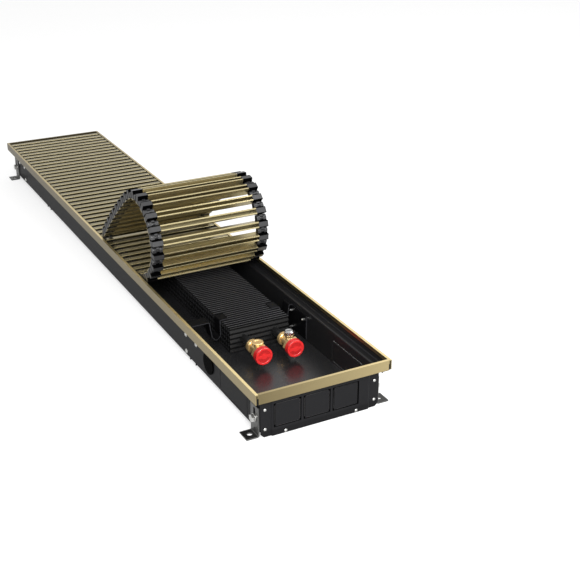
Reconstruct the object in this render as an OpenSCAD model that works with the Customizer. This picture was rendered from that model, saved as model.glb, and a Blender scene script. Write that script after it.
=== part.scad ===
// Trench convector heater: a sheet-steel floor channel with an aluminium frame,
// a finned heat exchanger and a grille of linked slats that rolls up from one end.
// Millimetres. X runs across, Y along (the connection end is at -Y), Z up from the floor.

/* [Frame and channel] */
// Length over the frame
frame_l = 1500; // [1496:1:1510]
// Width over the frame
frame_w = 250; // [246:0.5:256]
// Height from the floor to the frame's top
frame_h = 90; // [88:0.5:110]
// Width over the channel's side walls
channel_w = 220; // [214:0.5:224]
// Distance from the frame's end to the end plate's outer face
end_inset = 12; // [10:0.5:15]
// Thickness of the black sheet steel
sheet_t = 1.2; // [0.8:0.1:1.6]
// Inside radius of the sheet's bends
bend_r = 1.5; // [0.8:0.1:2]
// Height of the channel's underside above the floor
floor_lift = 8; // [6:0.5:9]
// Width of the folded flanges inside the channel
flange_w = 17; // [14:0.5:20]
// How far the end plates' panels stand out from their riveted margins
panel_out = 2.4; // [1.6:0.1:3]
// Width of the riveted margins of an end plate
margin_w = 18; // [17:0.5:20]

/* [Frame profile] */
// Wall of the aluminium edge profile
trim_t = 1.5; // [1:0.1:1.8]
// Gap between the edge profile's legs and the sheet rim
trim_gap = 0.4; // [0.2:0.05:0.6]
// Height of the edge profile's outer leg
trim_h = 18.2; // [14:0.1:18.4]
// Height of the edge profile's inner leg
trim_in_h = 7; // [4:0.5:10]
// Joint gap between the frame's side and end pieces
trim_joint = 0.3; // [0.2:0.1:1]

/* [Knock-outs and grommet] */
// Width of one knock-out in an end plate
knock_w = 47; // [36:1:50]
// Spacing of the knock-outs in an end plate
knock_pitch = 54; // [52:1:56]
// How far the row of knock-outs sits beside the centre line
knock_shift = 8.5; // [0:0.5:10]
// Distance of every knock-out from the top of its sheet
knock_top = 10.2; // [8:0.2:20]
// Height of the end plates' knock-outs above the floor
knock_z = 16; // [14:0.5:18]
// Length of the knock-out in a side wall
side_knock_l = 106; // [60:1:120]
// Distance of the side knock-out from the end plate
side_knock_y = 50; // [48:1:60]
// Height of the side knock-outs above the floor
side_knock_z = 12; // [11:0.5:16]
// Width of the cut that outlines a knock-out
cut_w = 1.3; // [0.6:0.1:1.6]
// Length of the tabs that hold a knock-out
tab_l = 3; // [2:0.5:6]
// Radius of the hole for the side wall's rubber grommet
grommet_r = 17; // [12:0.5:18]
// Width of the grommet's lip round its hole
grommet_lip = 3; // [2:0.5:3.5]
// Thickness of the grommet's lips
grommet_t = 2; // [1:0.5:4]
// Distance of the grommet from the end plate
grommet_y = 203; // [200:1:206]

/* [Heat exchanger] */
// Clear width between the exchanger and the left wall
air_left = 68.8; // [67:0.1:76]
// Clear width between the exchanger and the right wall
air_right = 28.8; // [26:0.1:34]
// Air space between the fins and the grille's ledge
air_above = 11.1; // [10.6:0.1:14]
// Thickness of a fin
fin_t = 0.6; // [0.4:0.1:1]
// Spacing of the fins
fin_pitch = 8; // [6:0.5:12]
// Depth of the fins' pressed waves
fin_wave = 2; // [0.5:0.1:2.4]
// Number of pressed waves up a fin
fin_waves = 5; // [3:1:6]
// Height of the fins' lower edge above the floor
fin_z = 12; // [11.5:0.1:13]
// Distance from the end plate to the first fin
fin_start = 267; // [262:1:272]
// Free space between the last fin and the far end plate
fin_end = 58; // [56:1:70]
// Outer radius of the water tubes
tube_r = 7.5; // [6.8:0.1:8.5]
// Wall of the water tubes
tube_t = 1; // [0.6:0.1:1.4]
// Distance between the two water tubes
tube_pitch = 63; // [58:0.5:68]
// How far the water tubes stand out in front of the first fin
tube_out = 36; // [32:1:40]

/* [Hangers] */
// Width of a hanger strap
strap_w = 24; // [20:1:26]
// Thickness of a hanger
strap_t = 1.5; // [1:0.1:2]
// Distance from the exchanger's end to the middle of the hanger strap
strap_y = 51; // [48:1:56]
// Length of the hanger's wall plate
wall_plate_l = 80; // [76:1:84]
// Height of the wall plate's lower edge above the floor
wall_plate_z = 11.5; // [11:0.1:13]
// Width of the loop between the hanger's arm and the exchanger
loop_w = 22; // [16:0.5:24]
// Clearance between the hanger's loop and the floor sheet
loop_lift = 13.4; // [10:0.2:20]
// Length of the hook on top of the fins
hook_l = 16; // [8:1:24]
// Clearance between a hanger and the exchanger
hang_gap = 0.3; // [0.1:0.1:0.5]
// Radius of the hanger screws
screw_r = 2.4; // [1.5:0.1:2.8]
// Length of the hanger screws under their heads
screw_l = 9; // [6:0.5:12]
// Distance from the strap's middle to the first hanger screw
screw_y = 15; // [12:0.5:18]
// Spacing of the hanger screws along the wall
screw_dy = 46; // [36:1:48]
// Distance of the upper hanger screws from the top of the wall plate
screw_edge = 7.8; // [6.6:0.1:10]
// Height of the lower hanger screw
screw_z = 17; // [16:0.5:20]

/* [Valve fittings] */
// Radius of the fittings' threaded ends
stub_r = 13; // [11:0.1:14]
// Length of a threaded end
stub_l = 10; // [8:0.5:12]
// Radius of the waterway
water_r = 5.5; // [3:0.1:6]
// Radius of the brass body
body_r = 9.5; // [8:0.1:11]
// Length of the brass body behind its hexagon
body_l = 22; // [20:0.5:26]
// Width across the flats of the front hexagon
hex_af = 29; // [26:0.5:29.5]
// Length of the front hexagon
hex_l = 7; // [5:0.5:9]
// Length of the rear collar
nut_l = 10; // [8:0.5:12]
// Outer radius of the rear collar
nut_r = 12.5; // [11:0.1:14]
// Radius of the boss on top of the body
boss_r = 6.5; // [5.4:0.1:7]
// Height of the boss above the fitting's axis
boss_h = 15; // [15:0.1:18]
// Radius of the bore in the boss
boss_bore_r = 3; // [2:0.1:4]
// Radius of the blind plug's head
plug_r = 11; // [7:0.1:11.5]
// Height of the blind plug's head
plug_h = 3; // [2:0.5:5]
// Radius of the air vent's knob
vent_r = 8.8; // [6:0.1:9.2]
// Height of the air vent's knob
vent_h = 10; // [8:0.5:14]
// Number of flutes round the vent's knob
vent_flutes = 16; // [12:1:20]
// Running clearance of the vent's stem
vent_gap = 0.08; // [0.03:0.01:0.1]
// Outer radius of a protective cap
cap_r = 16.5; // [15.5:0.1:17.5]
// Depth of a protective cap
cap_l = 11; // [9:0.5:12]
// Thickness of a protective cap's face
cap_t = 2; // [1.5:0.1:3]
// Radial clearance of a protective cap on its threaded end
cap_gap = 0.1; // [0.04:0.01:0.1]

/* [Feet] */
// Width of a foot
foot_w = 27; // [24:1:32]
// Height of a foot's upright
foot_h = 54; // [53:0.5:58]
// How far a foot's plate reaches out from the channel wall
foot_out = 23; // [21:0.5:26]
// Thickness of a foot
foot_t = 2.5; // [2:0.1:3]
// Distance from the frame's end to the foot's centre
foot_y = 31; // [30:1:36]
// Travel of a foot
foot_travel = 16; // [10:0.5:17]
// Width of the foot's slot
slot_w = 6.8; // [6.4:0.1:7.6]
// Height of the foot bolt above the floor
foot_bolt_z = 31; // [30:0.5:32]
// Height of the small hole in a foot's upright
foot_hole_z = 12; // [10:0.5:14]
// Radius of the anchor hole in a foot
anchor_r = 4.5; // [3.5:0.1:5]
// Radius of the foot bolt
bolt_r = 3; // [2.5:0.1:3.1]
// Width across the flats of the foot bolt's head
bolt_af = 12; // [10:0.5:12]
// Height of the foot bolt's head
bolt_head = 5; // [3:0.5:6]
// Clearance between a foot and what it slides on
slide_gap = 0.3; // [0.2:0.05:0.5]

/* [Grille] */
// Spacing of the slats
slat_pitch = 24.2; // [24.1:0.02:24.24]
// Width of a slat
slat_w = 12; // [11:0.1:12.6]
// Height of a slat
slat_h = 18; // [17:0.1:18]
// Wall of a slat
slat_t = 1.4; // [1:0.1:1.8]
// Gap between a slat's end and the frame
slat_gap = 1.5; // [1:0.1:2.5]
// How far the grille's top lies below the frame's top
slat_drop = 0.6; // [0.4:0.1:1]
// Gap between the grille's underside and the ledge
seat_gap = 0.3; // [0.2:0.05:0.5]
// Length of a link along the slat
link_l = 20; // [16:0.5:24]
// Length of the link's tenon inside the slat
tenon_l = 8; // [5:0.5:12]
// Radius of a link's eye
eye_r = 5.3; // [4.6:0.1:5.5]
// Radius of a link's pin
pin_r = 1.3; // [1.1:0.1:1.5]
// Radial clearance of a link's pin
pin_gap = 0.08; // [0.03:0.01:0.1]
// Side clearance between linked eyes
eye_gap = 0.35; // [0.3:0.05:0.5]

/* [Hidden] */

// Turn of each rolled slat against the one before it, in degrees, from the flat grille to its free end
roll_turns = [8.5, 10, 11, 15, 18, 20, 19, 17.5, 16, 16, 17, 19, 17, 10.5, 2, 1, 1, 1, 1, 1, 1.5, 1];
rolled = len(roll_turns);

// One overrun for every cut, the fineness of round surfaces, and the gaps between pieces that meet
over = 1;
$fn = 48;
bend_steps = 4;
fit_gap = 0.2;
hole_gap = 0.1;

// Finishes
black_paint = [0.13, 0.13, 0.14];
champagne = [0.72, 0.65, 0.48];
brass_colour = [0.85, 0.68, 0.35];
zinc = [0.66, 0.66, 0.63];
red_cap = [0.85, 0.1, 0.1];
black_plastic = [0.1, 0.1, 0.11];

// Sheet parts
ledge_z = frame_h - slat_drop - slat_h - seat_gap;
wall_top = ledge_z - sheet_t - bend_r - fit_gap;
trim_w = 2 * trim_t + sheet_t + 2 * trim_gap;
rim_in = trim_t + trim_gap;
rim_x = frame_w / 2 - rim_in;
rim_y = frame_l / 2 - rim_in;
rim_top = frame_h - rim_in;
wall_x = channel_w / 2;
wall_in = wall_x - sheet_t;
end_y = frame_l / 2 - end_inset;
margin_y = end_y - panel_out;
wall_end = margin_y - sheet_t - fit_gap;
floor_z = floor_lift + sheet_t;
plate_band = 6;
corner_cut = 6;
floor_tab_x = 80;
floor_tab_z = 0.5;

// Rivets of the end plates: in the margins at two heights, and along the bottom
rivet_r = 1.6;
rivet_head_r = 2.6;
rivet_head_h = 1.1;
rivet_top = 18.2;
rivet_high_z = wall_top - rivet_top;
rivet_low_z = 14;
rivet_bottom_z = 4;
rivet_margin_share = 0.45;
rivet_x = wall_x - margin_w * rivet_margin_share;
rivet_bottom_x = 66;

// Support rails across the underside
rail_w = 27;
rail_inset = 4;
rail_from_end = 286;
rail_y = end_y - rail_from_end;

// Knock-outs and grommet
knock_h = wall_top - knock_top - knock_z;
grommet_z = (floor_z + sheet_t + wall_top) / 2;

// Exchanger
fin_h = ledge_z - air_above - fin_z;
fin_w = 2 * wall_in - air_left - air_right;
fin_x = (air_left - air_right) / 2;
fin_mid_z = fin_z + fin_h / 2;
fin_y0 = fin_start - end_y;
fin_y1 = end_y - fin_end;
fin_count = floor((fin_y1 - fin_y0 - fin_t - fin_wave) / fin_pitch) + 1;
tube_tail = 4;
left_tube_x = fin_x - tube_pitch / 2;
right_tube_x = fin_x + tube_pitch / 2;

// Fittings
tube_y0 = fin_y0 - tube_out;
nut_y = tube_y0 - nut_l / 2;
hex_y = nut_y - body_l;
stub_y = hex_y - hex_l - stub_l;
boss_y = hex_y + boss_r + over;
stem_l = 8;
plug_shares = [0.9, 0.6, 0.5];
plug_dish_share = 0.6;
vent_shares = [0.9, 0.8, 0.75];
flute_r = 1;
flute_out = 0.3;
nut_edge = 1.5;
cap_rim_share = 0.72;
cap_bar_share = 0.16;
cap_groove = 0.8;
cap_band = 1.4;

// Hangers
hook_z = fin_z + fin_h + hang_gap;
screw_dz = hook_z - strap_t - screw_edge - screw_z;
loop_slant_share = 0.25;
loop_r = 6;
pan_r = 4.4;
pan_h = 2.4;
pan_shares = [0.5, 0.3];

// Feet
foot_x = wall_x + slide_gap;
foot_mid_y = frame_l / 2 - foot_y;
anchor_x = foot_x + foot_out / 2;
foot_hole_r = 1.8;
washer_r = 7.2;
washer_t = 1.2;
bolt_tail = 4;
foot_nut_h = 4;

// Grille
end_play = 1;
slat_top = frame_h - slat_drop;
slat_low = slat_top - slat_h;
hinge_z = slat_top - slat_t - eye_r;
slat_half = frame_w / 2 - trim_w - slat_gap;
slats = floor((frame_l - 2 * (trim_w + eye_r + end_play)) / slat_pitch);
mat_end = slats * slat_pitch / 2;
root_y = mat_end - (slats - rolled) * slat_pitch;
ear_w = (link_l - 2 * eye_gap) / 3;
tenon_gap = 0.1;
mouth_share = 0.85;

function turned(v, a) = [v.x * cos(a) - v.y * sin(a), v.x * sin(a) + v.y * cos(a)];
function unit(v) = v / norm(v);
function left_of(v) = [-v.y, v.x];
function reversed(list) = [for (i = [len(list) - 1:-1:0]) list[i]];

// One edge of a bent sheet that lies to the right of its path: side 0 is the path, side 1 the other edge
function bent_edge(path, t, r, side) = [
    for (i = [0:len(path) - 1])
        let (
            a = i == 0 ? unit(path[1] - path[0]) : unit(path[i] - path[i - 1]),
            b = i == len(path) - 1 ? a : unit(path[i + 1] - path[i]),
            bend = sign(a.x * b.y - a.y * b.x),
            angle = acos(min(1, a * b)),
            path_r = bend > 0 ? r : r + t,
            edge_r = bend > 0 ? r + side * t : r + t - side * t,
            centre = path[i] - a * path_r * tan(angle / 2) + left_of(a) * bend * path_r,
            spoke = -left_of(a) * bend * edge_r
        )
        each i == 0 || i == len(path) - 1
            ? [path[i] - left_of(a) * side * t]
            : [for (k = [0:bend_steps]) centre + turned(spoke, bend * angle * k / bend_steps)]
];

// Outline of a bent sheet
function bent_sheet(path, t, r) = concat(bent_edge(path, t, r, 0), reversed(bent_edge(path, t, r, 1)));

// Middle of a hanger's strap: near end -1, far end 1, both as drawn at the near end
function strap_at(s) = s < 0 ? fin_y0 + strap_y : strap_y - fin_y1;

// Extrude a profile drawn in X and Z along Y
module along_y(y0, y1) {
    translate([0, y1, 0]) rotate([90, 0, 0]) linear_extrude(y1 - y0) children();
}

// Extrude a profile drawn in Y and Z along X
module along_x(x0, x1) {
    translate([x0, 0, 0]) rotate([90, 0, 90]) linear_extrude(x1 - x0) children();
}

module box(low, high) {
    translate(low) cube(high - low);
}

module rod_x(x0, x1, r) {
    translate([x0, 0, 0]) rotate([0, 90, 0]) cylinder(h = x1 - x0, r = r);
}

module rod_y(y0, y1, r) {
    translate([0, y1, 0]) rotate([90, 0, 0]) cylinder(h = y1 - y0, r = r);
}

module rod_z(z0, z1, r) {
    translate([0, 0, z0]) cylinder(h = z1 - z0, r = r);
}

module hexagon(af) {
    circle(r = af / 2 / cos(30), $fn = 6);
}

// Pieces are drawn on the left and at the near end: -1 keeps them there, 1 mirrors them
module on_side(s) {
    mirror([s > 0 ? 1 : 0, 0, 0]) children();
}

module at_end(s) {
    mirror([0, s > 0 ? 1 : 0, 0]) children();
}

// The cuts that outline a knock-out, with a tab left at each corner
module knock_out_cuts(w, h) {
    for (s = [0, 1]) {
        translate([tab_l, s * (h - cut_w)]) square([w - 2 * tab_l, cut_w]);
        translate([s * (w - cut_w), tab_l]) square([cut_w, h - 2 * tab_l]);
    }
}

// Places of the three screws that hold a hanger to the left wall
module at_hanger_screws(s) {
    for (p = [[0, 0], [0, screw_dz], [screw_dy, screw_dz]])
        translate([-wall_x, strap_at(s) - screw_y - p.x, screw_z + p.y]) children();
}

module side_wall(holed) {
    path = [
        [flange_w - wall_x, floor_lift], [-wall_x, floor_lift], [-wall_x, ledge_z - sheet_t],
        [-rim_x, ledge_z - sheet_t], [-rim_x, rim_top]
    ];
    end_path = [
        [-wall_x, wall_end - 2 * flange_w], [-wall_x, wall_end], [flange_w - wall_x, wall_end]
    ];
    end_cut = bend_r + sheet_t - wall_end;
    flange_z = floor_z + sheet_t + fit_gap;
    difference() {
        union() {
            difference() {
                along_y(-rim_y, rim_y) polygon(bent_sheet(path, sheet_t, bend_r));
                for (s = [-1, 1]) at_end(s)
                    box([-frame_w / 2, -frame_l / 2, 0], [0, end_cut, wall_top]);
            }
            for (s = [-1, 1]) at_end(s) translate([0, 0, flange_z])
                linear_extrude(wall_top - flange_z) polygon(bent_sheet(end_path, sheet_t, bend_r));
        }
        translate([0, side_knock_y - end_y, side_knock_z])
            along_x(-wall_x - over, over - wall_in) knock_out_cuts(side_knock_l, knock_h);
        if (holed)
            translate([0, grommet_y - end_y, grommet_z]) rod_x(-wall_x - over, over - wall_in, grommet_r);
        for (s = [-1, 1]) at_end(s) {
            translate([0, -foot_mid_y, foot_bolt_z])
                rod_x(-wall_x - over, over - wall_in, bolt_r + hole_gap);
            at_hanger_screws(s) rod_x(-over, sheet_t + over, screw_r + hole_gap);
            for (z = [rivet_low_z, rivet_high_z]) translate([-rivet_x, 0, z])
                rod_y(-wall_end - over, over - wall_end + sheet_t, rivet_r + hole_gap);
        }
    }
}

module side_wall_left() {
    color(black_paint) side_wall(true);
}

module side_wall_right() {
    color(black_paint) on_side(1) side_wall(false);
}

module floor_sheet() {
    tab_y = end_y - sheet_t - fit_gap;
    half = wall_in - bend_r;
    path = [
        [-tab_y, floor_tab_z], [-tab_y, floor_z + sheet_t], [tab_y, floor_z + sheet_t], [tab_y, floor_tab_z]
    ];
    color(black_paint) difference() {
        union() {
            box([-half, -wall_end, floor_z], [half, wall_end, floor_z + sheet_t]);
            along_x(-floor_tab_x, floor_tab_x) polygon(bent_sheet(path, sheet_t, bend_r));
        }
        for (x = [-1, 1]) for (s = [-1, 1]) at_end(s)
            translate([x * rivet_bottom_x, 0, rivet_bottom_z])
                rod_y(-tab_y - over, over - tab_y + sheet_t, rivet_r + hole_gap);
    }
}

// End plate with a panel that stands out between its riveted margins, and the ledge and rim on top
module end_plate() {
    panel_x = wall_x - margin_w;
    path = [
        [wall_x, -margin_y], [panel_x, -margin_y], [panel_x - panel_out, -end_y],
        [panel_out - panel_x, -end_y], [-panel_x, -margin_y], [-wall_x, -margin_y]
    ];
    top_path = [
        [-end_y, ledge_z - plate_band], [-end_y, ledge_z - sheet_t], [-rim_y, ledge_z - sheet_t],
        [-rim_y, rim_top]
    ];
    cut = corner_cut + 2 * over;
    difference() {
        union() {
            linear_extrude(wall_top) polygon(bent_sheet(path, sheet_t, bend_r));
            along_x(fit_gap - wall_in, wall_in - fit_gap) polygon(bent_sheet(top_path, sheet_t, bend_r));
        }
        for (i = [-1:1])
            translate([i * knock_pitch - knock_shift - knock_w / 2, 0, knock_z])
                along_y(-end_y - over, over - end_y + sheet_t) knock_out_cuts(knock_w, knock_h);
        for (s = [-1, 1]) {
            for (z = [rivet_low_z, rivet_high_z]) translate([s * rivet_x, 0, z])
                rod_y(-margin_y - over, over - margin_y + sheet_t, rivet_r + hole_gap);
            translate([s * rivet_bottom_x, 0, rivet_bottom_z])
                rod_y(-end_y - over, over - end_y + sheet_t, rivet_r + hole_gap);
            on_side(s) translate([-wall_x - over, 0, -over])
                along_y(-end_y - over, over - margin_y + sheet_t) polygon([[0, 0], [cut, 0], [0, cut]]);
        }
    }
}

module end_plate_near() {
    color(black_paint) end_plate();
}

module end_plate_far() {
    color(black_paint) at_end(1) end_plate();
}

module support_rails() {
    path = [
        [-rail_y - rail_w / 2, 0], [-rail_y - rail_w / 2, floor_lift], [rail_w / 2 - rail_y, floor_lift],
        [rail_w / 2 - rail_y, 0]
    ];
    color(black_paint) for (s = [-1, 1]) at_end(s)
        along_x(rail_inset - wall_x, wall_x - rail_inset) polygon(bent_sheet(path, sheet_t, bend_r));
}

// Edge profile drawn with its outer face at 0: an upside-down U with a short inner leg
module trim_profile() {
    difference() {
        translate([0, frame_h - trim_h]) square([trim_w, trim_h]);
        translate([trim_t, frame_h - trim_h - over]) square([trim_w - 2 * trim_t, trim_h - trim_t + over]);
        translate([trim_t, frame_h - trim_h - over]) square([trim_w, trim_h - trim_in_h + over]);
    }
}

module side_trim() {
    color(champagne) translate([-frame_w / 2, 0, 0]) along_y(-frame_l / 2, frame_l / 2) trim_profile();
}

module trim_left() {
    side_trim();
}

module trim_right() {
    on_side(1) side_trim();
}

module end_trim() {
    half = frame_w / 2 - trim_w - trim_joint;
    color(champagne) translate([0, -frame_l / 2, 0]) along_x(-half, half) trim_profile();
}

module trim_near() {
    end_trim();
}

module trim_far() {
    at_end(1) end_trim();
}

module side_grommet() {
    outline = [
        [0, -grommet_t], [grommet_r + grommet_lip, -grommet_t], [grommet_r + grommet_lip, 0],
        [grommet_r, 0], [grommet_r, sheet_t], [grommet_r + grommet_lip, sheet_t], [grommet_r, sheet_t + grommet_t],
        [grommet_r - grommet_lip, sheet_t + grommet_t], [grommet_r - grommet_lip, 0], [0, 0]
    ];
    color(black_plastic) translate([-wall_x, grommet_y - end_y, grommet_z]) rotate([0, 90, 0])
        rotate_extrude() polygon(outline);
}

// Blind rivet with its head towards -Y, set through sheets of a given total depth
module rivet(depth) {
    rotate([-90, 0, 0]) rotate_extrude() polygon([
        [0, -rivet_head_h], [rivet_r, -rivet_head_h], [rivet_head_r, -rivet_head_h / 3], [rivet_head_r, 0],
        [rivet_r, 0], [rivet_r, depth], [rivet_head_r - hole_gap, depth], [rivet_r, depth + rivet_head_h],
        [0, depth + rivet_head_h]
    ]);
}

module end_rivets() {
    color(zinc) for (s = [-1, 1]) at_end(s) for (x = [-1, 1]) {
        for (z = [rivet_low_z, rivet_high_z])
            translate([x * rivet_x, -margin_y, z]) rivet(2 * sheet_t + fit_gap);
        translate([x * rivet_bottom_x, -end_y, rivet_bottom_z]) rivet(2 * sheet_t + fit_gap);
    }
}

// Side view of one fin, pressed into waves up its height
module fin_profile() {
    step = fin_h / (2 * fin_waves);
    front = [for (i = [0:2 * fin_waves]) [(i % 2) * fin_wave, fin_z + i * step]];
    polygon(concat(front, reversed([for (p = front) p + [fin_t, 0]])));
}

module exchanger_fins() {
    color(black_paint) for (i = [0:fin_count - 1])
        translate([fin_x, fin_y0 + i * fin_pitch, 0]) difference() {
            along_x(-fin_w / 2, fin_w / 2) fin_profile();
            for (s = [-1, 1]) translate([s * tube_pitch / 2, 0, fin_mid_z])
                rod_y(-over, fin_wave + fin_t + over, tube_r + hole_gap);
        }
}

module tube_run(r, y0, y1) {
    for (s = [-1, 1]) translate([s * tube_pitch / 2, 0, 0]) rod_y(y0, y1, r);
    translate([0, y1, 0]) rotate_extrude(angle = 180) translate([tube_pitch / 2, 0]) circle(r = r);
}

// The water tube: two runs joined by a return bend at the far end
module exchanger_tubes() {
    color(black_paint) translate([fin_x, 0, fin_mid_z]) difference() {
        tube_run(tube_r, tube_y0, fin_y1 + tube_tail);
        tube_run(tube_r - tube_t, tube_y0 - over, fin_y1 + tube_tail);
    }
}

// Hanger: a plate on the wall, an arm, a loop that hangs down and a hook over the exchanger's edge.
// fin_edge is the distance from the centre line to the exchanger's side.
module hanger(s, fin_edge) {
    side = fin_edge + hang_gap;
    loop = min(loop_w, wall_in - side - 5 * strap_t);
    slant = loop * loop_slant_share;
    low = floor_z + sheet_t + loop_lift;
    mid_y = strap_at(s);
    plate_y = mid_y + strap_w / 2;
    path = [
        [-wall_in, wall_plate_z], [-wall_in, hook_z + strap_t], [-side - loop, hook_z + strap_t],
        [slant - side - loop, low + loop_r], [slant - side - loop + loop_r, low],
        [-side - strap_t - loop_r, low], [-side - strap_t, low + loop_r],
        [-side - strap_t, hook_z + strap_t], [hook_l - side, hook_z + strap_t]
    ];
    color(black_paint) difference() {
        union() {
            along_y(mid_y - strap_w / 2, plate_y) polygon(bent_sheet(path, strap_t, strap_t / 2));
            box(
                [-wall_in, plate_y - wall_plate_l, wall_plate_z],
                [strap_t - wall_in, plate_y, hook_z - strap_t]
            );
        }
        at_hanger_screws(s) rod_x(sheet_t - over, sheet_t + strap_t + over, screw_r + hole_gap);
    }
}

module hanger_near_left() {
    hanger(-1, fin_w / 2 - fin_x);
}

module hanger_near_right() {
    on_side(1) hanger(-1, fin_w / 2 + fin_x);
}

module hanger_far_left() {
    at_end(1) hanger(1, fin_w / 2 - fin_x);
}

module hanger_far_right() {
    at_end(1) on_side(1) hanger(1, fin_w / 2 + fin_x);
}

// Pan-head screws from outside through the wall into the hangers
module hanger_screws() {
    color(zinc) for (x = [-1, 1]) on_side(x) for (s = [-1, 1]) at_end(s) at_hanger_screws(s)
        rotate([0, 90, 0]) difference() {
            rotate_extrude() polygon([
                [0, -pan_h], [pan_r * pan_shares[0], -pan_h], [pan_r, -pan_h * pan_shares[1]], [pan_r, 0],
                [screw_r, 0], [screw_r, screw_l - screw_r], [0, screw_l]
            ]);
            translate([0, 0, -pan_h - over]) linear_extrude(over + pan_h / 2) hexagon(pan_r / 2);
        }
}

// Brass connection: threaded end, hexagon, body with a boss on top and a tail inside the rear nut
module fitting() {
    color(brass_colour) translate([0, 0, fin_mid_z]) difference() {
        union() {
            rod_y(stub_y, hex_y - hex_l, stub_r);
            translate([0, hex_y, 0]) rotate([90, 0, 0]) linear_extrude(hex_l) hexagon(hex_af);
            rod_y(hex_y - hex_l, nut_y - fit_gap, body_r);
            rod_y(stub_y, tube_y0 - fit_gap, tube_r);
            translate([0, boss_y, 0]) rod_z(0, boss_h, boss_r);
        }
        rod_y(stub_y - over, tube_y0 + over, water_r);
        translate([0, boss_y, 0]) rod_z(0, boss_h + over, boss_bore_r);
    }
}

module fitting_left() {
    translate([left_tube_x, 0, 0]) fitting();
}

module fitting_right() {
    translate([right_tube_x, 0, 0]) fitting();
}

// Round collar over the tail of the fitting and the end of the water tube
module rear_nut() {
    bore = tube_r + hole_gap;
    color(brass_colour) translate([0, nut_y + nut_l, fin_mid_z]) rotate([90, 0, 0]) rotate_extrude()
        polygon([
            [bore, 0], [nut_r - nut_edge, 0], [nut_r, nut_edge], [nut_r, nut_l - nut_edge],
            [nut_r - nut_edge, nut_l], [bore, nut_l]
        ]);
}

module rear_nut_left() {
    translate([left_tube_x, 0, 0]) rear_nut();
}

module rear_nut_right() {
    translate([right_tube_x, 0, 0]) rear_nut();
}

module blind_plug() {
    dish_z = plug_h * plug_dish_share;
    outline = [
        [0, -stem_l], [boss_bore_r - hole_gap, -stem_l], [boss_bore_r - hole_gap, 0], [plug_r, 0],
        [plug_r, dish_z], [plug_r * plug_shares[0], plug_h], [plug_r * plug_shares[1], plug_h],
        [plug_r * plug_shares[2], dish_z], [0, dish_z]
    ];
    color(brass_colour) translate([left_tube_x, boss_y, fin_mid_z + boss_h])
        rotate_extrude() polygon(outline);
}

// Air vent: a fluted knob on a stem that turns in the boss
module vent_knob() {
    outline = [
        [0, 0], [vent_r * vent_shares[0], 0], [vent_r, vent_r - vent_r * vent_shares[0]],
        [vent_r, vent_h * vent_shares[1]], [vent_r * vent_shares[2], vent_h], [0, vent_h]
    ];
    color(zinc) translate([right_tube_x, boss_y, fin_mid_z + boss_h + slide_gap]) difference() {
        union() {
            rotate_extrude() polygon(outline);
            rod_z(-stem_l, over, boss_bore_r - vent_gap);
        }
        for (i = [1:vent_flutes]) rotate(i * 360 / vent_flutes)
            translate([vent_r + flute_out, 0, 0]) rod_z(-over, vent_h + over, flute_r);
        box([-vent_r, -flute_r, vent_h - 2 * flute_r], [vent_r, flute_r, vent_h + over]);
    }
}

// Protective cap with a grip bar across its dished face: pulls off its threaded end towards -Y
module cap() {
    ring_z = cap_l / 2;
    dish = cap_r * cap_rim_share;
    outline = [
        [0, cap_groove], [dish, cap_groove], [dish + cap_groove, 0],
        [cap_r - cap_groove, 0], [cap_r, cap_groove], [cap_r, ring_z], [cap_r - cap_groove, ring_z],
        [cap_r - cap_groove, ring_z + cap_band], [cap_r, ring_z + cap_band], [cap_r, cap_l],
        [stub_r + cap_gap, cap_l], [stub_r + cap_gap, cap_t], [0, cap_t]
    ];
    bar = cap_r * cap_bar_share;
    color(red_cap) translate([0, stub_y - cap_t - slide_gap, fin_mid_z]) rotate([-90, 0, 0]) {
        rotate_extrude() polygon(outline);
        box([-dish, -bar, 0], [dish, bar, cap_t]);
        rod_z(0, cap_t, 2 * bar);
    }
}

module cap_left() {
    translate([left_tube_x, 0, 0]) cap();
}

module cap_right() {
    translate([right_tube_x, 0, 0]) cap();
}

// Foot on the left wall at the near end: an upright with a slot, and a plate with the anchor hole
module foot() {
    path = [[-foot_x, foot_h], [-foot_x, 0], [-foot_x - foot_out, 0]];
    out_x = -foot_x - foot_t - over;
    color(zinc) translate([0, -foot_mid_y, 0]) difference() {
        along_y(-foot_w / 2, foot_w / 2) polygon(bent_sheet(path, foot_t, foot_t / 2));
        translate([-anchor_x, 0, 0]) rod_z(-over, foot_t + over, anchor_r);
        for (z = [0, foot_travel])
            translate([0, 0, foot_bolt_z + z]) rod_x(out_x, over - foot_x, slot_w / 2);
        box([out_x, -slot_w / 2, foot_bolt_z], [over - foot_x, slot_w / 2, foot_bolt_z + foot_travel]);
        translate([0, 0, foot_hole_z]) rod_x(out_x, over - foot_x, foot_hole_r);
    }
}

module foot_near_left() {
    foot();
}

module foot_near_right() {
    on_side(1) foot();
}

module foot_far_left() {
    at_end(1) foot();
}

module foot_far_right() {
    at_end(1) on_side(1) foot();
}

module at_foot_bolts() {
    for (x = [-1, 1]) on_side(x) for (s = [-1, 1]) at_end(s)
        translate([-wall_x, -foot_mid_y, foot_bolt_z]) children();
}

module foot_bolts() {
    head = 2 * slide_gap + foot_t + washer_t;
    color(zinc) at_foot_bolts() {
        rod_x(-head, sheet_t + foot_nut_h + bolt_tail, bolt_r);
        rod_x(-head, washer_t - head, washer_r);
        translate([-head - bolt_head, 0, 0]) rotate([0, 90, 0]) linear_extrude(bolt_head) hexagon(bolt_af);
    }
}

module foot_nuts() {
    color(zinc) at_foot_bolts() translate([sheet_t, 0, 0]) rotate([0, 90, 0])
        linear_extrude(foot_nut_h) difference() {
            hexagon(bolt_af - over);
            circle(r = bolt_r + hole_gap);
        }
}

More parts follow.
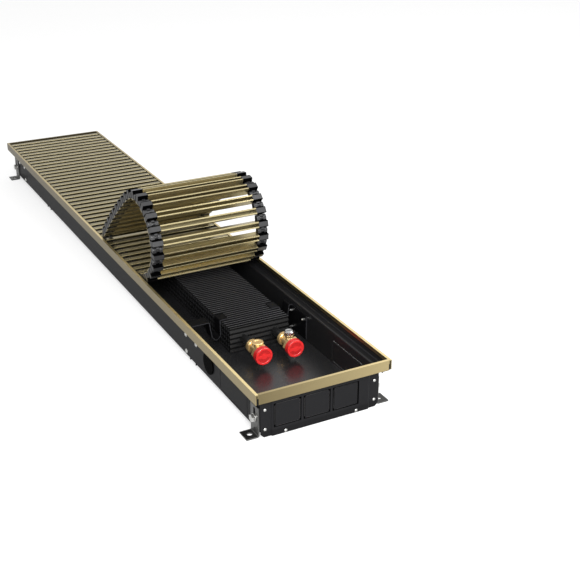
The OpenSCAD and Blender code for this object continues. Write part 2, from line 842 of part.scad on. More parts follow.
// Slat: an upside-down channel whose legs are cut away over the links
module slat() {
    leg = slat_half - link_l;
    inner = slat_w / 2 - slat_t;
    cut_z = slat_low - over;
    color(champagne) difference() {
        box([-slat_half, -slat_w / 2, slat_low], [slat_half, slat_w / 2, slat_top]);
        box([-slat_half - over, -inner, cut_z], [slat_half + over, inner, slat_top - slat_t]);
        for (s = [-1, 1]) on_side(s)
            box([-slat_half - over, -slat_w, cut_z], [-leg, slat_w, slat_top - slat_t]);
    }
}

// Arm and eye of a link, from the block to the hinge at the next slat
module eye(x0, x1) {
    translate([0, slat_pitch / 2, hinge_z]) rod_x(x0, x1, eye_r);
    box([x0, 0, hinge_z - eye_r], [x1, slat_pitch / 2, hinge_z + eye_r]);
}

// Link under a slat's end: a block with two eyes and a pin towards the free end, and a hooked eye behind
module link() {
    x0 = -slat_half;
    x1 = link_l - slat_half;
    mid0 = x0 + ear_w + eye_gap;
    mid1 = x1 - ear_w - eye_gap;
    color(black_plastic) {
        difference() {
            union() {
                box([x0, -slat_w / 2, slat_low], [x1, slat_w / 2, slat_top - slat_t]);
                box(
                    [x1 - over, slat_t + tenon_gap - slat_w / 2, slat_low + slat_t],
                    [x1 + tenon_l, slat_w / 2 - slat_t - tenon_gap, slat_top - slat_t]
                );
                mirror([0, 1, 0]) {
                    eye(x0, x0 + ear_w);
                    eye(x1 - ear_w, x1);
                }
                eye(mid0, mid1);
            }
            translate([0, slat_pitch / 2, hinge_z]) {
                rod_x(x0, x1, pin_r + pin_gap);
                box([x0, -pin_r * mouth_share, -eye_r - over], [x1, pin_r * mouth_share, 0]);
            }
        }
        translate([0, -slat_pitch / 2, hinge_z]) rod_x(x0 + ear_w / 2, x1 - ear_w / 2, pin_r);
    }
}

module links() {
    for (s = [-1, 1]) on_side(s) link();
}

module grille_slats() {
    for (i = [0:slats - rolled - 1]) translate([0, root_y + (i + 0.5) * slat_pitch, 0]) slat();
}

module grille_links() {
    for (i = [0:slats - rolled - 1]) translate([0, root_y + (i + 0.5) * slat_pitch, 0]) links();
}

// The rolled mat: total turn of a slat, and the place of the hinge beyond it
function roll_angle(n) = n == 0 ? 0 : roll_angle(n - 1) + roll_turns[n - 1];
function roll_hinge(n) = n == 0
    ? [root_y, hinge_z]
    : roll_hinge(n - 1) + turned([-slat_pitch, 0], -roll_angle(n));

// Rolled slat with its two end links, in its place in the roll
module rolled_slat(n) {
    hinge = roll_hinge(n - 1);
    translate([0, hinge.x, hinge.y]) rotate([-roll_angle(n), 0, 0])
        translate([0, -slat_pitch / 2, -hinge_z]) {
            slat();
            links();
        }
}

module rolled_slat_01() {
    rolled_slat(1);
}

module rolled_slat_02() {
    rolled_slat(2);
}

module rolled_slat_03() {
    rolled_slat(3);
}

module rolled_slat_04() {
    rolled_slat(4);
}

module rolled_slat_05() {
    rolled_slat(5);
}

module rolled_slat_06() {
    rolled_slat(6);
}

module rolled_slat_07() {
    rolled_slat(7);
}

module rolled_slat_08() {
    rolled_slat(8);
}

module rolled_slat_09() {
    rolled_slat(9);
}

module rolled_slat_10() {
    rolled_slat(10);
}

module rolled_slat_11() {
    rolled_slat(11);
}

module rolled_slat_12() {
    rolled_slat(12);
}

module rolled_slat_13() {
    rolled_slat(13);
}

module rolled_slat_14() {
    rolled_slat(14);
}

module rolled_slat_15() {
    rolled_slat(15);
}

module rolled_slat_16() {
    rolled_slat(16);
}

module rolled_slat_17() {
    rolled_slat(17);
}

module rolled_slat_18() {
    rolled_slat(18);
}

module rolled_slat_19() {
    rolled_slat(19);
}

module rolled_slat_20() {
    rolled_slat(20);
}

module rolled_slat_21() {
    rolled_slat(21);
}

module rolled_slat_22() {
    rolled_slat(22);
}

floor_sheet();
side_wall_left();
side_wall_right();
end_plate_near();
end_plate_far();
support_rails();
trim_left();
trim_right();
trim_near();
trim_far();
side_grommet();
end_rivets();
exchanger_fins();
exchanger_tubes();
hanger_near_left();
hanger_near_right();
hanger_far_left();
hanger_far_right();
hanger_screws();
fitting_left();
fitting_right();
rear_nut_left();
rear_nut_right();
blind_plug();
vent_knob();
cap_left();
cap_right();
foot_near_left();
foot_near_right();
foot_far_left();
foot_far_right();
foot_bolts();
foot_nuts();
grille_slats();
grille_links();
rolled_slat_01();
rolled_slat_02();
rolled_slat_03();
rolled_slat_04();
rolled_slat_05();
rolled_slat_06();
rolled_slat_07();
rolled_slat_08();
rolled_slat_09();
rolled_slat_10();
rolled_slat_11();
rolled_slat_12();
rolled_slat_13();
rolled_slat_14();
rolled_slat_15();
rolled_slat_16();
rolled_slat_17();
rolled_slat_18();
rolled_slat_19();
rolled_slat_20();
rolled_slat_21();
rolled_slat_22();
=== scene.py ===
# Trench convector heater with a partly rolled-up grille: looks, camera and light
import math

import bmesh
import bpy
from mathutils import Matrix, Vector


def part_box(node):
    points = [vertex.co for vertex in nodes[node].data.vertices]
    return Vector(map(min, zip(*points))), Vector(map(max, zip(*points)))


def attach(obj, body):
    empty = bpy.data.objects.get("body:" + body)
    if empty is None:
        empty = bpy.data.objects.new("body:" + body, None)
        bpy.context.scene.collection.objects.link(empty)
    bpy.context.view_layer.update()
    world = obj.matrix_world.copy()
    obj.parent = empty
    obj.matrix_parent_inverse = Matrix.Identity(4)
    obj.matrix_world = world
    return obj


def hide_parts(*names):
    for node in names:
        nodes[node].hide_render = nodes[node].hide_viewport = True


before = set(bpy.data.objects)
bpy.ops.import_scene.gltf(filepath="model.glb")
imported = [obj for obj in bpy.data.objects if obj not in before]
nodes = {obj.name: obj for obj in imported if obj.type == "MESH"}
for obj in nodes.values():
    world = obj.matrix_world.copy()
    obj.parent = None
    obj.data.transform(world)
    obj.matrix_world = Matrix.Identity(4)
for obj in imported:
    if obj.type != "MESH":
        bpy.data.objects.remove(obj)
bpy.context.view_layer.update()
MM = 0.001
X_AXIS, Y_AXIS, Z_AXIS = range(3)

# Sizes of the CAD model that the pieces here share, in millimetres, and its turns in degrees
PITCH = 24.2
FIXED = 39
ROLL_TURNS = [8.5, 10, 11, 15, 18, 20, 19, 17.5, 16, 16, 17, 19, 17, 10.5, 2, 1, 1, 1, 1, 1, 1.5, 1]
SLAT_TOP = 89.4
SLAT_H = 18
SLAT_W = 12
SLAT_T = 1.4
SLAT_HALF = 118.5
EYE_R = 5.3
LINK_L = 20
FRAME_HALF_L = 750
FRAME_HALF_W = 125
KNOCK_SHIFT = 8.5
KNOCK_PITCH = 54
KNOCK_W = 47
KNOCK_Z = 16
KNOCK_H = 42
HINGE_Z = SLAT_TOP - SLAT_T - EYE_R
ROOT_Y = (FIXED + len(ROLL_TURNS)) * PITCH / 2 - FIXED * PITCH

# Sizes of the pieces made here, in millimetres
SHOULDER_R = 1.0
SHOULDER_STEPS = 4
FOOT_W = 2.8
FOOT_H = 1.1
FOOT_CHAMFER = 0.35
LINK_BEVEL = 0.35
FIN_PITCH = 8
FIN_T = 1.6
FIN_WAVE = 2
FIN_STEPS = 10

# Painted lines, in millimetres: painted shade in the seams of a link, in the knock-out cuts and in the
# strip under them turns plain from the first number to the second, and a painted highlight makes the fins
# light towards their top edges.
LINK_SEAM = 6.2
SEAM_SHADE_EDGE = (1.2, 1.8)
CUT_SHADE_EDGE = (1.0, 1.9)
STRIP_SHADE_EDGE = (9, 13)
CREST_HIGHLIGHT_EDGE = (58.8, 59.6)

# Painted light and shade on a slat's faces, as shares of its colour: painted shade on the flat grille's
# legs, on the top, on the far shoulder and in the hollow, painted highlights on the near shoulder and the
# feet, and painted light on the rolled legs
PAINTED_LIGHT_LEG_FLAT = 0.4
PAINTED_LIGHT_LEG_LOW = 1.9
PAINTED_LIGHT_LEG_HIGH = 1.1
PAINTED_LIGHT_FOOT = 1.6
PAINTED_LIGHT_HOLLOW = 0.8
PAINTED_LIGHT_NEAR = 1.5
PAINTED_LIGHT_TOP = 0.75
PAINTED_LIGHT_FAR = 0.6
# Angle of the roll, in degrees, from which its slats' legs have the painted light of the roll's high part
PAINTED_LIGHT_FULL_ANGLE = 120

# Camera in millimetres, its direction, and its sensor and lens
CAMERA_AT = (-751, -2047, 934)
CAMERA_AIM = (0.4247, 0.8026, -0.4188)
CAMERA_SENSOR = 36
CAMERA_LENS = 66.66

# Each area light: name, place, aim, side length and power
LAMPS = (
    ("key", (-1.2, -3.4, 2.6), (0, -0.2, 0), 1.6, 130),
    ("low", (-0.3, -3.0, 0.6), (0, -0.2, 0.1), 1.2, 35),
    ("fill", (2.4, -1.6, 2.6), (0, -0.2, 0), 1.4, 45),
)

# Sky as the object is lit by it, as it mirrors it and as the camera sees it
SKY_LIGHT = 0.55
SKY_MIRRORED = 0.9
SKY_SEEN = 1.0
# Glow of the ground as the camera sees it and as the object mirrors it
GROUND_SEEN = 0.58
GROUND_MIRRORED = 0.25


def make_camera():
    """The photograph's pinhole, fitted to the frame's corners."""
    data = bpy.data.cameras.new("camera")
    cam = bpy.data.objects.new("camera", data)
    bpy.context.scene.collection.objects.link(cam)
    cam.location = Vector(CAMERA_AT) * MM
    cam.rotation_euler = Vector(CAMERA_AIM).to_track_quat("-Z", "Y").to_euler()
    data.sensor_width = CAMERA_SENSOR
    data.lens = CAMERA_LENS
    data.clip_start = 0.01
    data.clip_end = 50
    bpy.context.scene.camera = cam


def new_material(name):
    mat = bpy.data.materials.new(name)
    mat.use_nodes = True
    tree = mat.node_tree
    tree.nodes.clear()
    out = tree.nodes.new("ShaderNodeOutputMaterial")
    shader = tree.nodes.new("ShaderNodeBsdfPrincipled")
    tree.links.new(shader.outputs["BSDF"], out.inputs["Surface"])
    return mat, tree, shader


def value(tree, operation, *terms):
    """Result of one sum on numbers or sockets."""
    node = tree.nodes.new("ShaderNodeMath")
    node.operation = operation
    for socket, term in zip(node.inputs, terms):
        if isinstance(term, (int, float)):
            socket.default_value = term
        else:
            tree.links.new(term, socket)
    return node.outputs["Value"]


def metres(pair):
    return [v * MM for v in pair]


def between(tree, where, low, high, first, last):
    """Value that goes from first to last while where goes from low to high."""
    node = tree.nodes.new("ShaderNodeMapRange")
    node.inputs["From Min"].default_value = low
    node.inputs["From Max"].default_value = high
    node.inputs["To Min"].default_value = first
    node.inputs["To Max"].default_value = last
    tree.links.new(where, node.inputs["Value"])
    return node.outputs["Result"]


def noise(tree, stretch, scale, detail, roughness):
    where = tree.nodes.new("ShaderNodeTexCoord")
    mapping = tree.nodes.new("ShaderNodeMapping")
    mapping.inputs["Scale"].default_value = stretch
    tree.links.new(where.outputs["Object"], mapping.inputs["Vector"])
    node = tree.nodes.new("ShaderNodeTexNoise")
    node.inputs["Scale"].default_value = scale
    node.inputs["Detail"].default_value = detail
    node.inputs["Roughness"].default_value = roughness
    tree.links.new(mapping.outputs["Vector"], node.inputs["Vector"])
    return node.outputs["Fac"]


def ramp(tree, factor, stops):
    node = tree.nodes.new("ShaderNodeValToRGB")
    for element, (place, colour) in zip(node.color_ramp.elements, stops):
        element.position = place
        element.color = (*colour, 1)
    tree.links.new(factor, node.inputs["Fac"])
    return node.outputs["Color"]


def bump(tree, shader, height, distance):
    node = tree.nodes.new("ShaderNodeBump")
    node.inputs["Distance"].default_value = distance
    node.inputs["Strength"].default_value = 0.6
    tree.links.new(height, node.inputs["Height"])
    tree.links.new(node.outputs["Normal"], shader.inputs["Normal"])


def shade(colour, factor):
    return tuple(min(1.0, c * factor) for c in colour)


def surface(name, colour, metallic, rough, spread_by=0.12, grain=(1, 1, 1), scale=180, depth=0.00004,
            rough_by=0.06, coat=0.0, detail=3.0, gloss=0.5):
    """Material whose colour, roughness and relief vary with a fine noise, stretched by grain.

    A broad noise varies the colour as well.
    """
    mat, tree, shader = new_material(name)
    fine = noise(tree, grain, scale, detail, 0.6)
    broad = noise(tree, (1, 1, 1), 9, 2.0, 0.5)
    both = value(tree, "MULTIPLY_ADD", fine, 0.6, value(tree, "MULTIPLY", broad, 0.4))
    stops = [(0.3, shade(colour, 1 - spread_by)), (0.7, shade(colour, 1 + spread_by))]
    tree.links.new(ramp(tree, both, stops), shader.inputs["Base Color"])
    roughness = between(tree, fine, 0.3, 0.7, rough - rough_by, rough + rough_by)
    tree.links.new(roughness, shader.inputs["Roughness"])
    shader.inputs["Metallic"].default_value = metallic
    shader.inputs["Coat Weight"].default_value = coat
    shader.inputs["Specular IOR Level"].default_value = gloss
    bump(tree, shader, fine, depth)
    return mat


def dark(name, colour, rough, gloss, scale=900, depth=0.00002, spread_by=0.15):
    """Black paint, enamel, plastic or rubber with a fine grain."""
    return surface(name, colour, 0.0, rough, spread_by, scale=scale, depth=depth, gloss=gloss)


def anodised(name, colour, grain, metallic=0.95, rough=0.32):
    """Anodised aluminium, brushed along the piece."""
    return surface(name, colour, metallic, rough, 0.05, grain, 30, 0.000005)


def shader_of(mat):
    return next(n for n in mat.node_tree.nodes if n.type == "BSDF_PRINCIPLED")


def scale_colour(mat, factor):
    """Multiply a material's colour by a value that varies over the surface."""
    tree = mat.node_tree
    socket = shader_of(mat).inputs["Base Color"]
    source = socket.links[0].from_socket
    mix = tree.nodes.new("ShaderNodeVectorMath")
    mix.operation = "SCALE"
    tree.links.new(source, mix.inputs[0])
    tree.links.new(factor, mix.inputs["Scale"])
    tree.links.new(mix.outputs["Vector"], socket)


def scale_gloss(mat, factor):
    """Multiply a material's gloss by a value that varies over the surface."""
    tree = mat.node_tree
    socket = shader_of(mat).inputs["Specular IOR Level"]
    source = socket.links[0].from_socket if socket.is_linked else socket.default_value
    tree.links.new(value(tree, "MULTIPLY", source, factor), socket)


def place_of(tree, output="Object"):
    """X, Y and Z of the shaded point, or of its face's direction, in the shared frame."""
    where = tree.nodes.new("ShaderNodeTexCoord")
    parts = tree.nodes.new("ShaderNodeSeparateXYZ")
    tree.links.new(where.outputs[output], parts.inputs["Vector"])
    return parts.outputs


def stored(tree, name):
    """Number that the mesh keeps under a name, for each face or corner."""
    node = tree.nodes.new("ShaderNodeAttribute")
    node.attribute_name = name
    return node.outputs["Fac"]


def paint_light_along(mat, axis, low, high, first, last, gloss=False):
    """Painted light and shade: a colour factor that goes from first to last along an axis."""
    tree = mat.node_tree
    factor = between(tree, place_of(tree)[axis], low, high, first, last)
    scale_colour(mat, factor)
    if gloss:
        scale_gloss(mat, factor)


def paint_light_by_facing(mat, axis, first, last, gloss=True, low=0.5, high=0.9):
    """Painted light and shade: a colour factor that goes from first to last as a face turns towards an
    axis.
    """
    tree = mat.node_tree
    size = value(tree, "ABSOLUTE", place_of(tree, "Normal")[axis])
    factor = between(tree, size, low, high, first, last)
    scale_colour(mat, factor)
    if gloss:
        scale_gloss(mat, factor)


def paint_seam_shade(mat):
    """Painted shade in the seams where each link's block meets its eyes, at a distance along the link
    stored with it.
    """
    tree = mat.node_tree
    along = value(tree, "ABSOLUTE", stored(tree, "along"))
    aside = value(tree, "ABSOLUTE", value(tree, "SUBTRACT", along, LINK_SEAM * MM))
    scale_colour(mat, between(tree, aside, *metres(SEAM_SHADE_EDGE), 0.05, 1))
    scale_gloss(mat, between(tree, aside, *metres(SEAM_SHADE_EDGE), 0, 1))


def paint_outline_shade(mat):
    """Painted shade: dark lines along the cuts round the end plates' knock-outs, and a darker strip of
    painted shade below them.
    """
    tree = mat.node_tree
    x, _, z = place_of(tree)
    half_w = KNOCK_W / 2 * MM
    half_h = KNOCK_H / 2 * MM
    pitch = KNOCK_PITCH * MM

    def work(operation, *terms):
        return value(tree, operation, *terms)

    moved = work("ADD", x, KNOCK_SHIFT * MM)
    nearest = work("ROUND", work("DIVIDE", moved, pitch))
    nearest = work("MAXIMUM", work("MINIMUM", nearest, 1), -1)
    across = work("ABSOLUTE", work("SUBTRACT", moved, work("MULTIPLY", nearest, pitch)))
    up = work("ABSOLUTE", work("SUBTRACT", z, KNOCK_Z * MM + half_h))
    over_x = work("SUBTRACT", across, half_w)
    over_z = work("MULTIPLY", work("SUBTRACT", up, half_h), 2)
    edge = work("ABSOLUTE", work("MAXIMUM", over_x, over_z))
    scale_colour(mat, between(tree, edge, *metres(CUT_SHADE_EDGE), 0.1, 1))
    scale_colour(mat, between(tree, z, *metres(STRIP_SHADE_EDGE), 0.6, 1))
    scale_gloss(mat, between(tree, edge, *metres(CUT_SHADE_EDGE), 0, 1))


def bevelled(obj, width, angle):
    """Small bevel that catches the light, on edges that are sharper than the angle."""
    mod = obj.modifiers.new("edge", "BEVEL")
    mod.width = width * MM
    mod.segments = 2
    mod.limit_method = "ANGLE"
    mod.angle_limit = math.radians(angle)


def dress(name, mat, bevel=0.0):
    """Give a CAD node its material and its bevel."""
    obj = nodes[name]
    obj.data.materials.clear()
    obj.data.materials.append(mat)
    if bevel:
        bevelled(obj, bevel, 40)


def new_object(name, mesh, mat):
    obj = bpy.data.objects.new(name, mesh)
    bpy.context.scene.collection.objects.link(obj)
    mesh.materials.append(mat)
    return obj


def new_piece(name, bm, mat, body, smooth=True):
    bmesh.ops.recalc_face_normals(bm, faces=bm.faces)
    mesh = bpy.data.meshes.new(name)
    bm.to_mesh(mesh)
    bm.free()
    obj = new_object(name, mesh, mat)
    if smooth:
        mesh.shade_smooth()
        mod = obj.modifiers.new("weighted", "WEIGHTED_NORMAL")
        mod.keep_sharp = True
        for edge in mesh.edges:
            edge.use_edge_sharp = False
        mesh.set_sharp_from_angle(angle=math.radians(35))
    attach(obj, body)
    return obj


def slat_matrices():
    """Places of the flat slats, then of the rolled ones from the root hinge to the free end."""
    flat = [Matrix.Translation(Vector((0, ROOT_Y + (i + 0.5) * PITCH, 0)) * MM) for i in range(FIXED)]
    rolled = []
    y = ROOT_Y
    z = HINGE_Z
    angle = 0.0
    for turn in ROLL_TURNS:
        angle += math.radians(turn)
        place = Matrix.Translation(Vector((0, y, z)) * MM) @ Matrix.Rotation(-angle, 4, "X")
        rolled.append(place @ Matrix.Translation(Vector((0, -PITCH / 2, -HINGE_Z)) * MM))
        y -= PITCH * math.cos(angle)
        z += PITCH * math.sin(angle)
    return flat, rolled


def slat_mesh(matrix, bm, leg_painted_light):
    """Upside-down channel with rounded shoulders and turned-in feet; its web alone runs over the links.
    Each face keeps its share of painted light and shade.
    """
    half = SLAT_W / 2
    inner = SLAT_TOP - SLAT_T
    low = SLAT_TOP - SLAT_H
    steps = SHOULDER_STEPS
    web = [(-half, inner)]
    for side, start in ((-1, 180), (1, 90)):
        for k in range(steps + 1):
            a = math.radians(start - 90 / steps * k)
            y = side * (half - SHOULDER_R) + SHOULDER_R * math.cos(a)
            web.append((y, SLAT_TOP - SHOULDER_R + SHOULDER_R * math.sin(a)))
    web += [(half, inner), (half - SLAT_T, inner), (SLAT_T - half, inner)]
    # Painted light and shade of each face round the profile: the legs, a painted highlight on the near
    # shoulder, painted shade on the top, on the far shoulder and in the hollow
    painted_lights = [leg_painted_light] + [PAINTED_LIGHT_NEAR] * steps + [PAINTED_LIGHT_TOP] + [PAINTED_LIGHT_FAR] * steps
    painted_lights += [leg_painted_light, leg_painted_light, PAINTED_LIGHT_HOLLOW, leg_painted_light]
    count = len(web)
    leg = SLAT_HALF - LINK_L
    xs = [-SLAT_HALF, -leg, leg, SLAT_HALF]
    painted_light = bm.faces.layers.float.get("painted_light") or bm.faces.layers.float.new("painted_light")

    def vert(x, y, z):
        return bm.verts.new(matrix @ (Vector((x, y, z)) * MM))

    def face(corners, painted_light_of):
        bm.faces.new(corners)[painted_light] = painted_light_of

    rings = [[vert(x, y, z) for y, z in web] for x in xs]
    for a in range(3):
        for k in range(count):
            if a == 1 and k in (count - 3, count - 1):
                continue
            n = (k + 1) % count
            face((rings[a][k], rings[a][n], rings[a + 1][n], rings[a + 1][k]), painted_lights[k])
    face(rings[0][::-1], 1.0)
    face(rings[3], 1.0)
    chamfer = FOOT_CHAMFER
    foot = [
        (0, low + chamfer), (chamfer, low), (FOOT_W - chamfer, low), (FOOT_W, low + chamfer),
        (FOOT_W, low + FOOT_H), (SLAT_T, low + FOOT_H)
    ]
    # Painted light of the foot's faces: the leg's, a painted highlight on the foot, painted shade inside
    # the hollow
    foot_painted_lights = [leg_painted_light] + [PAINTED_LIGHT_FOOT] * 3 + [PAINTED_LIGHT_HOLLOW] * 3
    for outer, near, side in ((0, count - 1, -1), (count - 3, count - 2, 1)):
        ends = []
        for a in (1, 2):
            new = [vert(xs[a], side * (half - y), z) for y, z in foot]
            ends.append([rings[a][outer]] + new + [rings[a][near]])
            face(ends[-1], 1.0)
        for k, painted_light_of in enumerate(foot_painted_lights):
            face((ends[0][k], ends[0][k + 1], ends[1][k + 1], ends[1][k]), painted_light_of)


def link_template():
    """One left-hand link of the flat grille, taken from the CAD node and moved to the slat's own place."""
    bm = bmesh.new()
    bm.from_mesh(nodes["grille_links"].data)
    bmesh.ops.remove_doubles(bm, verts=bm.verts, dist=1e-7)
    target = (ROOT_Y + 2.5 * PITCH) * MM
    seen = set()
    keep = None
    for vert in bm.verts:
        if vert in seen:
            continue
        island = [vert]
        seen.add(vert)
        for member in island:
            for edge in member.link_edges:
                other = edge.other_vert(member)
                if other not in seen:
                    seen.add(other)
                    island.append(other)
        ys = [v.co.y for v in island]
        if sum(v.co.x for v in island) < 0 and abs((min(ys) + max(ys)) / 2 - target) < 3 * MM:
            keep = set(island)
            break
    bmesh.ops.delete(bm, geom=[v for v in bm.verts if v not in keep], context="VERTS")
    bmesh.ops.translate(bm, verts=bm.verts, vec=(0, -target, 0))
    # The tenon is hidden inside the slat, so it is drawn in behind the link's face
    face = (LINK_L - SLAT_HALF) * MM
    for vert in bm.verts:
        if vert.co.x > face + 0.5 * MM:
            vert.co.x = face - 0.3 * MM
    mesh = bpy.data.meshes.new("link_template")
    bm.to_mesh(mesh)
    bm.free()
    return mesh


def add_links(template, matrix, bm):
    """Add a slat's two end links, each corner with its distance along the link."""
    for side in (1, -1):
        done = len(bm.verts)
        built = len(bm.faces)
        part = bmesh.new()
        part.from_mesh(template)
        if side < 0:
            bmesh.ops.scale(part, vec=(-1, 1, 1), verts=part.verts)
            bmesh.ops.reverse_faces(part, faces=part.faces)
        part.transform(matrix)
        held = bpy.data.meshes.new("held")
        part.to_mesh(held)
        part.free()
        bm.from_mesh(held)
        bpy.data.meshes.remove(held)
        along = bm.loops.layers.float.get("along") or bm.loops.layers.float.new("along")
        bm.verts.index_update()
        bm.faces.ensure_lookup_table()
        for part_face in bm.faces[built:]:
            for corner in part_face.loops:
                corner[along] = template.vertices[corner.vert.index - done].co.y


def make_grille(gold, plastic, shaded_plastic):
    flat, rolled = slat_matrices()
    template = link_template()
    bm = bmesh.new()
    # Flat slats get painted shade on their legs, which stand in the shaded gaps between them
    for matrix in flat:
        slat_mesh(matrix, bm, PAINTED_LIGHT_LEG_FLAT)
    piece = new_piece("flat_slats", bm, gold, "channel")
    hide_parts("grille_slats")
    # The flat grille's links take the plastic copy with painted shade
    dress("grille_links", shaded_plastic, LINK_BEVEL)
    angle = 0
    for i, matrix in enumerate(rolled):
        angle += ROLL_TURNS[i]
        # Painted light on the rolled legs, brightest low on the roll and less where the roll has turned
        # further
        leg_painted_light = PAINTED_LIGHT_LEG_LOW + (PAINTED_LIGHT_LEG_HIGH - PAINTED_LIGHT_LEG_LOW) * min(1, angle / PAINTED_LIGHT_FULL_ANGLE)
        node = "rolled_slat_%02d" % (i + 1)
        body = "slat_%02d" % (i + 1)
        bm = bmesh.new()
        slat_mesh(matrix, bm, leg_painted_light)
        piece = new_piece("slat_skin_%02d" % (i + 1), bm, gold, body)
        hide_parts(node)
        bm = bmesh.new()
        add_links(template, matrix, bm)
        ends = new_piece("slat_links_%02d" % (i + 1), bm, plastic, body, smooth=False)
        bevelled(ends, LINK_BEVEL, 50)
        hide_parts(node)
    bpy.data.meshes.remove(template)


def make_fins(mat):
    """Fin pack on the CAD fins' pitch, each fin pressed into waves up its height."""
    low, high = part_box("exchanger_fins")
    pitch = FIN_PITCH * MM
    thick = FIN_T * MM
    wave = FIN_WAVE * MM
    one = []
    for y in (0, thick):
        for j in range(FIN_STEPS + 1):
            z = low[2] + (high[2] - low[2]) * j / FIN_STEPS
            one += [(low[0], wave * (j % 2) + y, z), (high[0], wave * (j % 2) + y, z)]
    back = 2 * (FIN_STEPS + 1)
    top = 2 * FIN_STEPS
    faces = [(1, 0, back, back + 1), (top, top + 1, top + 1 + back, top + back)]
    for a in range(0, top, 2):
        b = a + back
        faces.append((a, a + 1, a + 3, a + 2))
        faces.append((b, b + 2, b + 3, b + 1))
        faces.append((a, a + 2, b + 2, b))
        faces.append((a + 3, a + 1, b + 1, b + 3))
    count = int((high[1] - low[1] - wave - thick) / pitch) + 1
    points = [(x, low[1] + k * pitch + y, z) for k in range(count) for x, y, z in one]
    sides = [tuple(v + k * len(one) for v in face) for k in range(count) for face in faces]
    mesh = bpy.data.meshes.new("fin_pack")
    mesh.from_pydata(points, [], sides)
    obj = new_object("fin_pack", mesh, mat)
    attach(obj, "channel")
    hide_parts("exchanger_fins")


def make_stage():
    bm = bmesh.new()
    bmesh.ops.create_grid(bm, x_segments=1, y_segments=1, size=12)
    mesh = bpy.data.meshes.new("ground")
    bm.to_mesh(mesh)
    bm.free()
    mat, tree, shader = new_material("ground")
    ground = new_object("ground", mesh, mat)
    ground.location = (0, 0, -0.5 * MM)
    shader.inputs["Base Color"].default_value = (0.55, 0.55, 0.55, 1)
    shader.inputs["Roughness"].default_value = 0.9
    shader.inputs["Specular IOR Level"].default_value = 0.1
    path = tree.nodes.new("ShaderNodeLightPath")
    mirrored = value(tree, "MULTIPLY", path.outputs["Is Glossy Ray"], GROUND_MIRRORED)
    glow = value(tree, "MULTIPLY_ADD", path.outputs["Is Camera Ray"], GROUND_SEEN, mirrored)
    shader.inputs["Emission Color"].default_value = (1, 1, 1, 1)
    tree.links.new(glow, shader.inputs["Emission Strength"])


def make_sky():
    world = bpy.data.worlds.new("world")
    bpy.context.scene.world = world
    world.use_nodes = True
    tree = world.node_tree
    tree.nodes.clear()
    out = tree.nodes.new("ShaderNodeOutputWorld")
    back = tree.nodes.new("ShaderNodeBackground")
    back.inputs["Color"].default_value = (1, 1, 1, 1)
    path = tree.nodes.new("ShaderNodeLightPath")
    mirrored = between(tree, path.outputs["Is Glossy Ray"], 0, 1, SKY_LIGHT, SKY_MIRRORED)
    strength = between(tree, path.outputs["Is Camera Ray"], 0, 1, 0, SKY_SEEN)
    tree.links.new(mirrored, strength.node.inputs["To Min"])
    tree.links.new(strength, back.inputs["Strength"])
    tree.links.new(back.outputs["Background"], out.inputs["Surface"])


def make_lights():
    for name, place, aim, size, power in LAMPS:
        data = bpy.data.lights.new(name, "AREA")
        data.shape = "SQUARE"
        data.size = size
        data.energy = power
        lamp = bpy.data.objects.new(name, data)
        bpy.context.scene.collection.objects.link(lamp)
        lamp.location = place
        lamp.rotation_euler = (Vector(aim) - Vector(place)).to_track_quat("-Z", "Y").to_euler()


make_camera()

# Black coats and plastics
black = dark("black_powder_coat", (0.006, 0.006, 0.007), 0.42, 0.08, depth=0.00003)
plate = dark("black_plate_coat", (0.009, 0.009, 0.01), 0.42, 0.12, depth=0.00003)
# The right wall, whose inside is lit, gets a lighter, glossier copy of the black coat as painted light
wall = dark("black_wall_coat_lit", (0.011, 0.011, 0.012), 0.38, 0.3, depth=0.00003)
satin = dark("black_floor_coat", (0.014, 0.014, 0.015), 0.3, 0.65)
strap = dark("black_strap_coat", (0.004, 0.004, 0.0045), 0.45, 0.06)
tube = dark("black_tube_coat", (0.009, 0.009, 0.009), 0.3, 0.5)
enamel = dark("black_stove_enamel", (0.009, 0.009, 0.0095), 0.4, 0.3, 600, 0.00001, 0.2)
# Link plastic in two copies: a lighter one, painted lit, for the rolled links, and a darker, duller one
# with painted shade for the flat grille's links between the slats
plastic = dark("black_link_plastic", (0.024, 0.024, 0.025), 0.34, 0.5, 1200)
shaded_plastic = dark("black_link_plastic_flat_shaded", (0.007, 0.006, 0.0045), 0.5, 0.05, 1200)
rubber = dark("grommet_rubber", (0.0015, 0.0015, 0.0015), 0.6, 0.01, 800, 0.00003)
# End plates: painted shade in and round the knock-out cuts and along the plate's foot
paint_outline_shade(plate)
# Hangers: painted highlight on the straps' thin edges, which face along the trench
paint_light_by_facing(strap, Y_AXIS, 1, 7)
# Rolled links: painted shade on faces turned sideways, painted light on the rest
paint_light_by_facing(plastic, X_AXIS, 1.2, 0.55)
# Rolled links: painted shade in the seams between block and eyes
paint_seam_shade(plastic)
# Fins: painted highlight on their top edges, painted shade on the pack's left side and on its front
fins_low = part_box("exchanger_fins")[0]
paint_light_along(enamel, Z_AXIS, *metres(CREST_HIGHLIGHT_EDGE), 1, 7)
paint_light_along(enamel, X_AXIS, fins_low[0] + 0.0002, fins_low[0] + 0.0006, 0.15, 1, True)
paint_light_along(enamel, Y_AXIS, fins_low[1] + 0.003, fins_low[1] + 0.004, 0.6, 1)

# Champagne aluminium: side pieces brushed along Y, end pieces and slats along X
edge_gold = (0.35, 0.283, 0.146)
slat_gold = (0.38, 0.325, 0.18)
along_y = (60, 0.6, 60)
along_x = (0.6, 60, 60)
gold_frame = anodised("champagne_edge", edge_gold, along_y)
gold_cross = anodised("champagne_edge_cross", edge_gold, along_x)
# The far trim gets a darker copy of the champagne colour as painted shade
gold_far_shaded = anodised("champagne_edge_far_shaded", shade(edge_gold, 0.6), along_x)
gold_slat = anodised("champagne_slat", slat_gold, along_x, 0.9, 0.27)
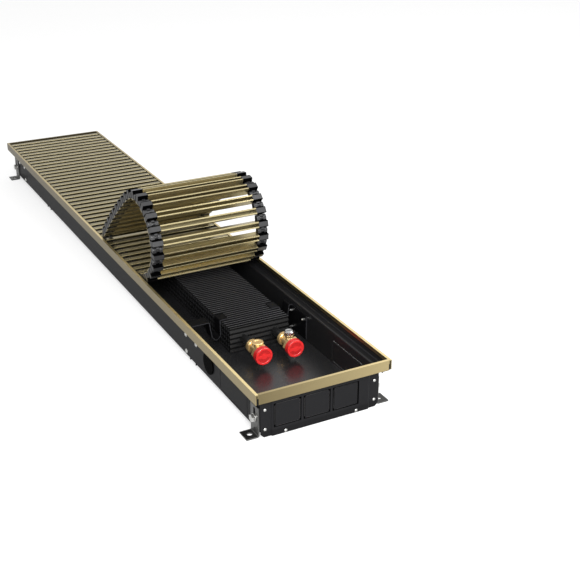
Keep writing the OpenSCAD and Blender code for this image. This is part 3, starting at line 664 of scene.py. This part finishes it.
# Painted light: the side trims get a painted glint towards the near end, the end trims a painted
# reflection brighter towards the right, and faces turned up a painted highlight
paint_light_along(gold_frame, Y_AXIS, -FRAME_HALF_L * MM, FRAME_HALF_L * MM, 1.2, 0.45)
paint_light_along(gold_cross, X_AXIS, -FRAME_HALF_W * MM, FRAME_HALF_W * MM, 0.6, 1.4)
paint_light_by_facing(gold_frame, Z_AXIS, 0.78, 2.4, False, 0.3, 0.6)
paint_light_by_facing(gold_cross, Z_AXIS, 0.95, 2.0, False, 0.3, 0.6)
# Slats: colour scaled by the painted light and shade kept with each face
scale_colour(gold_slat, stored(gold_slat.node_tree, "painted_light"))

# Other metals, and the red caps, which get painted shade from just behind the rim of their front
zinc = surface("zinc_sheet", (0.12, 0.12, 0.117), 0.9, 0.36, 0.18, scale=70, depth=0.00001, detail=5)
bolt = surface("zinc_bolt", (0.6, 0.6, 0.58), 0.95, 0.28, 0.12, scale=400, depth=0.00001)
brass = surface("brass", (0.75, 0.52, 0.24), 0.75, 0.34, 0.04, scale=60, depth=0.000003)
chrome = surface("chrome", (0.5, 0.5, 0.5), 1.0, 0.2, 0.05, scale=500, depth=0.000005, rough_by=0.03)
red = surface("red_cap", (0.84, 0.03, 0.03), 0.0, 0.36, 0.05, scale=700, depth=0.00001, coat=0.1)
# Feet: painted shade on faces turned up, a little painted light on the others
paint_light_by_facing(zinc, Z_AXIS, 1.1, 0.55, False)
cap_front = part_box("cap_left")[0][1]
paint_light_along(red, Y_AXIS, cap_front + 0.0002, cap_front + 0.0007, 1, 0.7)

# Material, width of the bevel in millimetres, and the CAD nodes that have them
for mat, bevel, names in (
    (black, 0.25, ("side_wall_left", "support_rails")),
    (wall, 0.25, ("side_wall_right",)),
    (plate, 0, ("end_plate_near", "end_plate_far")),
    (satin, 0.25, ("floor_sheet",)),
    (tube, 0, ("exchanger_tubes",)),
    (gold_frame, 0.6, ("trim_left", "trim_right")),
    (gold_cross, 0.6, ("trim_near",)),
    (gold_far_shaded, 0.6, ("trim_far",)),
    (strap, 0.2, ("hanger_near_left", "hanger_near_right", "hanger_far_left", "hanger_far_right")),
    (zinc, 0.2, ("foot_near_left", "foot_near_right", "foot_far_left", "foot_far_right")),
    (bolt, 0.15, ("hanger_screws", "foot_bolts", "foot_nuts", "end_rivets")),
    (brass, 0.3, ("fitting_left", "fitting_right", "rear_nut_left", "rear_nut_right", "blind_plug")),
    (chrome, 0.15, ("vent_knob",)),
    (red, 0.3, ("cap_left", "cap_right")),
    (rubber, 0.3, ("side_grommet",)),
):
    for name in names:
        dress(name, mat, bevel)
make_fins(enamel)
make_grille(gold_slat, plastic, shaded_plastic)
make_stage()
make_sky()
make_lights()
bpy.context.scene.view_settings.view_transform = "Standard"
